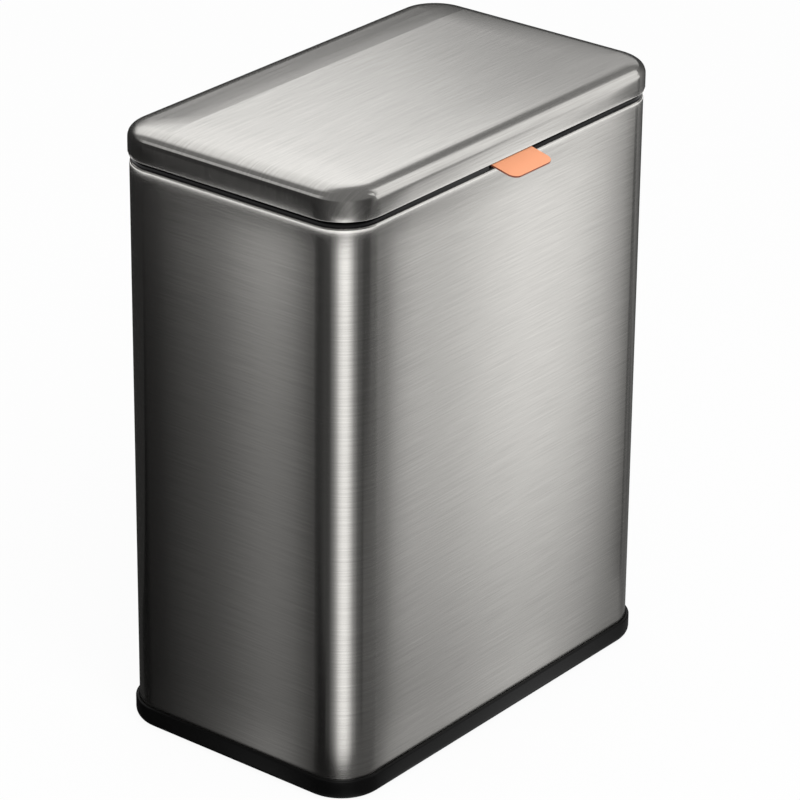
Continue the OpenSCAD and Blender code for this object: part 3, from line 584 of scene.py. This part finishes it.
def tab_plate():
    """Thin plate that slopes up to the lid and runs level from there, its outer corners round and its edges
    slightly softened. Its sides and underside take a second material, a darker orange that is painted shade."""
    half = (TAB_HI.x - TAB_LO.x) / 2
    bend = BODY_LO.y + TAB_BEND
    back = TAB_HI.y
    run = Vector((0, math.cos(TAB_SLOPE), math.sin(TAB_SLOPE)))
    down = Vector((0, math.sin(TAB_SLOPE), -math.cos(TAB_SLOPE)))
    crease = Vector((0, bend, TAB_HI.z))
    reach = (bend - TAB_LO.y) / math.cos(TAB_SLOPE)
    turns = [math.pi / 2 * i / TAB_EDGE_STEPS for i in range(TAB_EDGE_STEPS + 1)]
    rim = [(TAB_EDGE * (1 - math.cos(t)), TAB_EDGE * (1 - math.sin(t))) for t in turns]
    levels = [(inset, TAB_THICK - depth) for inset, depth in reversed(rim)] + rim
    mesh = bmesh.new()
    rings = []
    for inset, depth in levels:
        x = half - inset
        r = TAB_CORNER - inset
        left = arc((r - x, inset + r - reach), r, 180, 270, TAB_CORNER_STEPS)
        right = arc((x - r, inset + r - reach), r, 270, 360, TAB_CORNER_STEPS)
        side = [
            crease + run * along + down * depth + Vector((across, 0, 0))
            for across, along in left + right
        ]
        fold = Vector((0, bend + depth * math.tan(TAB_SLOPE / 2), TAB_HI.z - depth))
        end = Vector((0, back, TAB_HI.z - depth))
        out = Vector((x, 0, 0))
        rings.append([mesh.verts.new(p) for p in [end - out, fold - out] + side + [fold + out, end + out]])
    for a, b in zip(rings, rings[1:]):
        for i in range(len(a)):
            k = (i + 1) % len(a)
            mesh.faces.new((a[i], a[k], b[k], b[i]))
    for ring in (rings[0], rings[-1]):
        mesh.faces.new(ring[1:-1])
        mesh.faces.new((ring[0], ring[1], ring[-2], ring[-1]))
    bmesh.ops.recalc_face_normals(mesh, faces=mesh.faces)
    # Faces that don't face up take the darker orange: painted shade on the sides and underside
    for face in mesh.faces:
        if face.normal.z < TAB_SHADE_PAINTED_UNDER:
            face.material_index = 1
    return finish_mesh(mesh, "tab_plate", TAB_SMOOTH_UNDER)


def softened(node, body, material, width):
    """Copy of a CAD node that replaces it, its sharp edges rounded over by width as moulding leaves them."""
    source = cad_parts[node]
    mesh = bmesh.new()
    mesh.from_mesh(source.data)
    mesh.transform(source.matrix_world)
    bmesh.ops.remove_doubles(mesh, verts=mesh.verts, dist=WELD)
    bmesh.ops.dissolve_limit(mesh, angle_limit=FLAT_UNDER, verts=mesh.verts, edges=mesh.edges)
    sharp = [e for e in mesh.edges if len(e.link_faces) == 2 and e.calc_face_angle(0) > SHARP_OVER]
    bmesh.ops.bevel(
        mesh, geom=sharp, offset=width, offset_type="OFFSET", segments=SOFT_SEGMENTS, profile=0.5,
        affect="EDGES", clamp_overlap=True,
    )
    piece = finish_mesh(mesh, node + "_soft")
    piece.data.materials.append(material)
    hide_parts(node)
    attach(piece, body)


def make_camera():
    """Camera where the photograph was taken from, with the same framing."""
    right = (-CAMERA_BACK).cross(Vector((0, 0, 1))).normalized()
    up = right.cross(-CAMERA_BACK)
    turned_right = right * math.cos(PHOTO_ROLL) + up * math.sin(PHOTO_ROLL)
    turned_up = up * math.cos(PHOTO_ROLL) - right * math.sin(PHOTO_ROLL)
    data = bpy.data.cameras.new("photo_camera")
    data.sensor_width = SENSOR_MM
    data.lens = PHOTO_FOCAL_PIXELS / PHOTO_PIXELS * SENSOR_MM
    data.clip_end = CLIP_END
    camera = bpy.data.objects.new("photo_camera", data)
    turn = Matrix((turned_right, turned_up, CAMERA_BACK)).transposed().to_4x4()
    camera.matrix_world = Matrix.Translation(CAMERA_PLACE) @ turn
    bpy.context.scene.collection.objects.link(camera)
    bpy.context.scene.camera = camera


def glow(tree, colour, strength):
    """Emission of a colour."""
    return add(tree, "ShaderNodeEmission", {"Color": colour, "Strength": strength}).outputs[0]


def either(tree, *flags):
    """1 where any of the Light Path flags is set."""
    path = add(tree, "ShaderNodeLightPath")
    both = path.outputs[flags[0]]
    for flag in flags[1:]:
        pair = {0: both, 1: path.outputs[flag]}
        both = add(tree, "ShaderNodeMath", pair, operation="MAXIMUM").outputs[0]
    return both


def make_floor():
    """Pale floor that keeps a soft shadow under the object. In reflections it carries the studio's tones."""
    mesh = bmesh.new()
    bmesh.ops.create_grid(mesh, x_segments=4, y_segments=4, size=FLOOR_HALF)
    floor = finish_mesh(mesh, "floor")
    material = bpy.data.materials.new("pale_floor")
    material.use_nodes = True
    tree = material.node_tree
    tree.nodes.clear()
    place = add(tree, "ShaderNodeTexCoord").outputs["Object"]
    from_corner = add(tree, "ShaderNodeVectorMath", {
        0: place, 1: (BODY_LO.x + BODY_CORNER, BODY_LO.y + BODY_CORNER, 0),
    }, operation="SUBTRACT").outputs[0]
    matt = add(tree, "ShaderNodeBsdfDiffuse", {"Color": (FLOOR_GREY, FLOOR_GREY, FLOOR_GREY, 1)}).outputs[0]
    white = glow(tree, (1, 1, 1, 1), 1.0)
    tones = glow(tree, ramp_round(tree, from_corner, STUDIO), STUDIO_GLOW)
    keep = add(tree, "ShaderNodeMath", {
        0: either(tree, "Is Camera Ray", "Is Transmission Ray"), 1: FLOOR_GLOW,
    }, operation="MULTIPLY").outputs[0]
    seen = add(tree, "ShaderNodeMixShader", {0: keep, 1: matt, 2: white}).outputs[0]
    both = add(tree, "ShaderNodeMixShader", {0: either(tree, "Is Glossy Ray"), 1: seen, 2: tones})
    add(tree, "ShaderNodeOutputMaterial", {"Surface": both.outputs[0]})
    floor.data.materials.append(material)


def make_world():
    """White surround for the camera, plain soft light on the object, and studio tones in reflections."""
    world = bpy.data.worlds.new("studio")
    bpy.context.scene.world = world
    world.use_nodes = True
    tree = world.node_tree
    tree.nodes.clear()
    way = add(tree, "ShaderNodeTexCoord").outputs["Generated"]
    height = add(tree, "ShaderNodeSeparateXYZ", {"Vector": way}).outputs["Z"]
    rise = ramp(tree, height, CEILING_STOPS)
    tones = add(tree, "ShaderNodeMix", {
        0: rise, 6: ramp_round(tree, way, STUDIO), 7: (CEILING, CEILING, CEILING, 1),
    }, data_type="RGBA").outputs[2]
    soft = add(tree, "ShaderNodeBackground", {"Color": (1, 1, 1, 1), "Strength": SOFT_LIGHT}).outputs[0]
    white = add(tree, "ShaderNodeBackground", {"Color": (1, 1, 1, 1), "Strength": 1.0}).outputs[0]
    studio = add(tree, "ShaderNodeBackground", {"Color": tones, "Strength": STUDIO_GLOW}).outputs[0]
    shown = either(tree, "Is Camera Ray", "Is Transmission Ray")
    seen = add(tree, "ShaderNodeMixShader", {0: shown, 1: soft, 2: white}).outputs[0]
    both = add(tree, "ShaderNodeMixShader", {0: either(tree, "Is Glossy Ray"), 1: seen, 2: studio})
    add(tree, "ShaderNodeOutputWorld", {"Surface": both.outputs[0]})


def stage_board(board, tones, strength=BOARD_GLOW):
    """Makes a mesh a board that shows only in reflections. tones(tree) gives its colour."""
    material = bpy.data.materials.new(board.name)
    material.use_nodes = True
    material.cycles.emission_sampling = "NONE"
    tree = material.node_tree
    tree.nodes.clear()
    add(tree, "ShaderNodeOutputMaterial", {"Surface": glow(tree, tones(tree), strength)})
    board.data.materials.append(material)
    board.visible_camera = False
    board.visible_diffuse = False
    board.visible_transmission = False
    board.visible_shadow = False


def board_tones(tree, across, along=None, upright=None):
    """Tones of a board by its "board" map: stops across it times stops along it, or upright past its
    bend."""
    place = add(tree, "ShaderNodeUVMap", uv_map="board").outputs["UV"]
    parts = add(tree, "ShaderNodeSeparateXYZ", {"Vector": place}).outputs
    tone = ramp(tree, parts["X"], across)
    if along:
        fall = ramp(tree, parts["Y"], along)
        both = {0: 1.0, 6: tone, 7: fall}
        tone = add(tree, "ShaderNodeMix", both, data_type="RGBA", blend_type="MULTIPLY").outputs[2]
    if upright:
        past = ramp(tree, parts["Y"], PAST_BEND)
        both = {0: past, 6: tone, 7: (upright, upright, upright, 1)}
        tone = add(tree, "ShaderNodeMix", both, data_type="RGBA").outputs[2]
    return tone


def sweep_board(name, facing, azimuths, across, along, upright, strength):
    """Board that lies on the floor in front of a flat side and bends up beyond it. It fans out from the
    place where that side mirrors the camera, so its upright stripes look upright in the steel.

    facing is the way the side faces; azimuths are those of the board's edges, in degrees.
    """
    to_camera = (CAMERA_PLACE.xy - BODY_LO.xy).dot(facing)
    mirror = CAMERA_PLACE.xy - 2 * to_camera * facing
    bend = arc((SWEEP_FLAT, SWEEP_BEND), SWEEP_BEND - SWEEP_LIFT, 270, 360, SWEEP_BEND_STEPS)
    flat = [(SWEEP_START, SWEEP_LIFT), (SWEEP_FLAT, SWEEP_LIFT)]
    reach = flat + bend + [(SWEEP_FLAT + SWEEP_BEND, SWEEP_TOP)]
    length = [0.0]
    for a, b in zip(reach, reach[1:]):
        length.append(length[-1] + math.dist(a, b))
    first, last = azimuths
    mesh = bmesh.new()
    layer = mesh.loops.layers.uv.new("board")
    rows = []
    for i in range(SWEEP_STEPS + 1):
        azimuth = math.radians(first + (last - first) * i / SWEEP_STEPS)
        way = Vector((math.cos(azimuth), math.sin(azimuth)))
        to_side = to_camera / way.dot(facing)
        rows.append([mesh.verts.new((*(mirror + way * (to_side + s)), z)) for s, z in reach])
    for i in range(SWEEP_STEPS):
        for j in range(len(reach) - 1):
            here = [(i, j), (i + 1, j), (i + 1, j + 1), (i, j + 1)]
            side = mesh.faces.new([rows[a][b] for a, b in here])
            for loop, (a, b) in zip(side.loops, here):
                loop[layer].uv = (a / SWEEP_STEPS, length[b] / length[-1])
    shares = [(run / length[-1], tone) for run, tone in along]
    board = finish_mesh(mesh, name)
    stage_board(board, lambda tree: board_tones(tree, across, shares, upright), strength)


def softbox(name, axis, edges, stops):
    """Long flat board above the lid, parallel to axis "x" or "y". edges are its two long edges, sideways
    from the lid's middle and up from its top; stops go along it, in metres from the middle."""
    start, end = stops[0][0], stops[-1][0]
    near, far = edges
    mesh = bmesh.new()
    layer = mesh.loops.layers.uv.new("board")
    corners = []
    for along, (side, up) in ((start, near), (end, near), (end, far), (start, far)):
        place = (along, side, up) if axis == "x" else (side, along, up)
        corners.append(mesh.verts.new(Vector((MIDDLE.x, MIDDLE.y, LID_HI.z)) + Vector(place)))
    sheet = mesh.faces.new(corners)
    for loop, place in zip(sheet.loops, ((0, 0), (1, 0), (1, 1), (0, 1))):
        loop[layer].uv = place
    shares = [((along - start) / (end - start), tone) for along, tone in stops]
    stage_board(finish_mesh(mesh, name), lambda tree: board_tones(tree, shares))


def card(name, ends, top, across, up, strength):
    """Flat upright card between two plan points. It ends below the seam, so that hardly more than the body
    mirrors it. across and up are its tones."""
    mesh = bmesh.new()
    layer = mesh.loops.layers.uv.new("board")
    columns = [[mesh.verts.new((*point, z)) for z in (CARD_LIFT, top)] for point in ends]
    here = [(0, 0), (1, 0), (1, 1), (0, 1)]
    side = mesh.faces.new([columns[a][b] for a, b in here])
    for loop, place in zip(side.loops, here):
        loop[layer].uv = place
    stage_board(finish_mesh(mesh, name), lambda tree: board_tones(tree, across, up), strength)


def cards():
    """Cards beside the body's near corner, left face and front face."""
    corner = BODY_LO.xy + Vector((BODY_CORNER, BODY_CORNER))
    ahead = Vector((CAMERA_BACK.x, CAMERA_BACK.y)).normalized()
    side = Vector((-ahead.y, ahead.x))
    middle = corner + ahead * (BODY_CORNER + CARD_GAP)
    ends = [middle + side * end for end in CORNER_CARD_ENDS]
    card("corner_near", ends, CORNER_CARD_TOP, CORNER_CARD_ACROSS, CORNER_CARD_UP, CORNER_CARD_GLOW)
    x = BODY_LO.x - CARD_GAP
    ends = [(x, corner.y + LEFT_CARD_ENDS[0]), (x, BODY_HI.y + LEFT_CARD_ENDS[1])]
    card("left_near", ends, LEFT_CARD_TOP, LEFT_CARD_ACROSS, LEFT_CARD_UP, LEFT_CARD_GLOW)
    y = BODY_LO.y - CARD_GAP
    ends = [(corner.x + FRONT_CARD_ENDS[0], y), (BODY_HI.x + FRONT_CARD_ENDS[1], y)]
    card("front_near", ends, FRONT_CARD_TOP, FRONT_CARD_ACROSS, FRONT_CARD_UP, FRONT_CARD_GLOW)


def seam_board():
    """Narrow bright strip all round the body, close to it and a little below the seam, where only the rolled
    upper edge mirrors it."""
    size = (BODY_HI.x - BODY_LO.x, BODY_HI.y - BODY_LO.y)
    profile = [(-SEAM_GAP, BODY_HI.z - SEAM_DROP - SEAM_STRIP), (-SEAM_GAP, BODY_HI.z - SEAM_DROP)]
    strip = sweep("seam_board", size, BODY_CORNER, profile, False)
    stage_board(strip, lambda tree: linear(SEAM_TONE))


def key_light():
    """Soft square light that doesn't show in reflections."""
    data = bpy.data.lights.new("key", "AREA")
    data.shape = "RECTANGLE"
    data.size, data.size_y = KEY_SIDE, KEY_SIDE
    data.energy = KEY_WATTS
    light = bpy.data.objects.new("key", data)
    light.location = KEY_PLACE
    light.rotation_mode = "QUATERNION"
    light.rotation_quaternion = (Vector(KEY_PLACE) - Vector(KEY_AIM)).to_track_quat("Z", "Y")
    light.visible_glossy = False
    bpy.context.scene.collection.objects.link(light)


def paint(material, *nodes):
    """Gives CAD nodes a material."""
    for name in nodes:
        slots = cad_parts[name].data.materials
        slots.clear()
        slots.append(material)


make_camera()
make_world()
make_floor()
front = Vector((0, -1))
left = Vector((-1, 0))
sweep_board("front_board", front, FRONT_AZIMUTHS, FRONT_ACROSS, FRONT_ALONG, FRONT_UPRIGHT, FRONT_GLOW)
sweep_board("left_board", left, LEFT_AZIMUTHS, LEFT_ACROSS, LEFT_ALONG, LEFT_UPRIGHT, LEFT_GLOW)
softbox("back_softbox", "x", BACK_BOX_EDGES, BACK_BOX)
softbox("front_softbox", "x", FRONT_BOX_EDGES, FRONT_BOX)
softbox("left_softbox", "y", LEFT_BOX_EDGES, LEFT_BOX)
cards()
seam_board()
key_light()

steel_body = brushed_stainless("stainless_body_belt_brushed", "#c9c7c3", rough=0.2)
steel_lid = brushed_stainless("stainless_lid_belt_brushed", "#cccac6", rough=0.16)
black_satin = moulded_plastic(
    "polypropylene_black_satin_moulded", "#080808", rough=0.36, grain_mm=0.5, grain_depth_mm=0.01,
    gloss=0.22,
)
black_gloss = moulded_plastic(
    "polypropylene_black_glossy_moulded", "#040404", rough=0.22, grain_mm=0.5, grain_depth_mm=0.005,
    gloss=0.1,
)
black_liner = moulded_plastic(
    "polypropylene_liner_grained_moulded", "#262627", rough=0.5, grain_mm=0.6, grain_depth_mm=0.03,
)
lever_black = moulded_plastic(
    "acetal_lever_moulded", "#2e2f31", rough=0.38, grain_mm=0.4, grain_depth_mm=0.01,
)
bucket_grey = moulded_plastic(
    "polypropylene_bucket_grained_moulded", "#3a3b3d", rough=0.5, grain_mm=0.7, grain_depth_mm=0.04,
)
orange = moulded_plastic(
    "abs_orange_satin_moulded", "#faa97e", rough=0.45, grain_mm=0.4, grain_depth_mm=0.01,
)
# Darker orange for the tab's sides and underside: painted shade
orange_painted_shade = moulded_plastic(
    "abs_orange_painted_shade", "#8c4a35", rough=0.5, grain_mm=0.4, grain_depth_mm=0.01,
)
rubber = moulded_plastic(
    "rubber_black_matt_moulded", "#2b2b2c", rough=0.75, grain_mm=0.5, grain_depth_mm=0.03, gloss=0.3,
)
zinc = plain_metal("screw_steel_zinc_plated", "#b9bcc0", rough=0.3, mark_mm=0.8)
pin_steel = plain_metal("pin_steel_ground", "#c4c5c7", rough=0.22, mark_mm=0.6)
spring_steel = plain_metal("spring_steel_drawn", "#b4b5b7", rough=0.28, mark_mm=0.5)

cap = lid_cap()
cap.data.materials.append(steel_lid)
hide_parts("lid_skin")
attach(cap, "lid")

wrap = body_wrap()
wrap.data.materials.append(steel_body)
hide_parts("body_shell")
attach(wrap, "bin_body")

tab = tab_plate()
tab.data.materials.append(orange)
tab.data.materials.append(orange_painted_shade)
tab.visible_glossy = False
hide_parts("finger_tab")
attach(tab, "lever")

softened("top_collar", "bin_body", black_gloss, mm(0.4))
softened("base_tray", "bin_body", black_satin, mm(0.4))
softened("hinge_bracket_left", "bin_body", black_satin, mm(0.3))
softened("hinge_bracket_right", "bin_body", black_satin, mm(0.3))
softened("lid_liner", "lid", black_liner, mm(0.4))
softened("release_lever", "lever", lever_black, mm(0.3))
softened("inner_bucket", "bucket", bucket_grey, mm(0.5))
paint(rubber, "rubber_feet", "lid_bumpers")
paint(zinc, "base_screws", "bracket_screws", "leaf_screws", "striker_screws")
paint(pin_steel, "hinge_pin_left", "hinge_pin_right", "lever_pin", "tab_rivets")
paint(spring_steel, "torsion_spring_left", "torsion_spring_right", "catch_leaf", "striker")

bpy.context.scene.view_settings.view_transform = "Standard"
